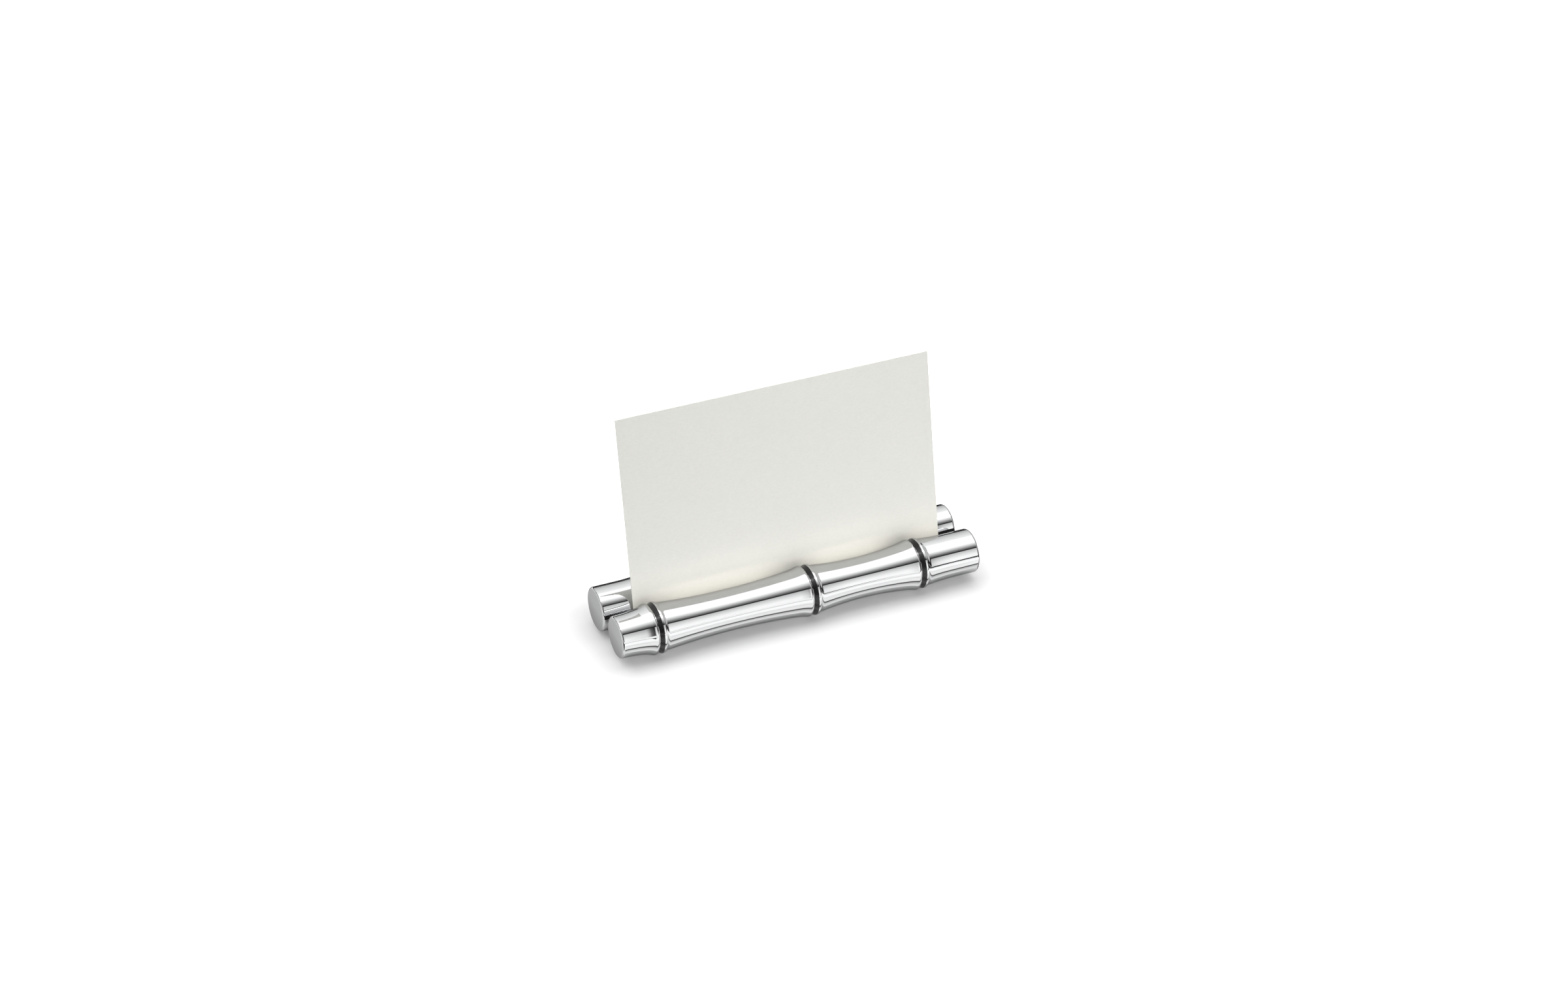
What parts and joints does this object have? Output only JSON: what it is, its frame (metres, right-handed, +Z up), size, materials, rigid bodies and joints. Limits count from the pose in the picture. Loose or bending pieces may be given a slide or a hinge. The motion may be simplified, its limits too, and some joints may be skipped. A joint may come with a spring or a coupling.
{
  "type": "place card holder",
  "caption": "Free-standing metal place card holder: bamboo-form bars lying end for end side by side with dark node rings, joined by cross pins, holding a leaning card in the slot between them.",
  "frame": {"origin": "on the table, midway along the bars and midway between them", "axes": "+X along the bars towards the front bar's end with the longer stub, +Y from the front bar to the back bar, +Z up"},
  "size_m": [0.0984, 0.027, 0.0586],
  "materials": {
    "polished_metal": "mirror-polished silvery metal",
    "dark_ring": "blackened metal with a soft shine",
    "pin_steel": "bright drawn steel",
    "card": "uncoated off-white card with a fine tooth"
  },
  "bodies": {
    "holder": {"front_bar": "polished_metal", "back_bar": "polished_metal", "front_left_ring": "dark_ring", "front_middle_ring": "dark_ring", "front_right_ring": "dark_ring", "back_left_ring": "dark_ring", "back_middle_ring": "dark_ring", "back_right_ring": "dark_ring", "left_cross_pin": "pin_steel", "right_cross_pin": "pin_steel"},
    "card": {"place_card": "card"}
  },
  "joints": [
    {"name": "card_lift", "type": "slide", "parent": "holder", "child": "card", "axis": [0, 0.1702, 0.9854], "range_m": [0, 0.03]}
  ]
}
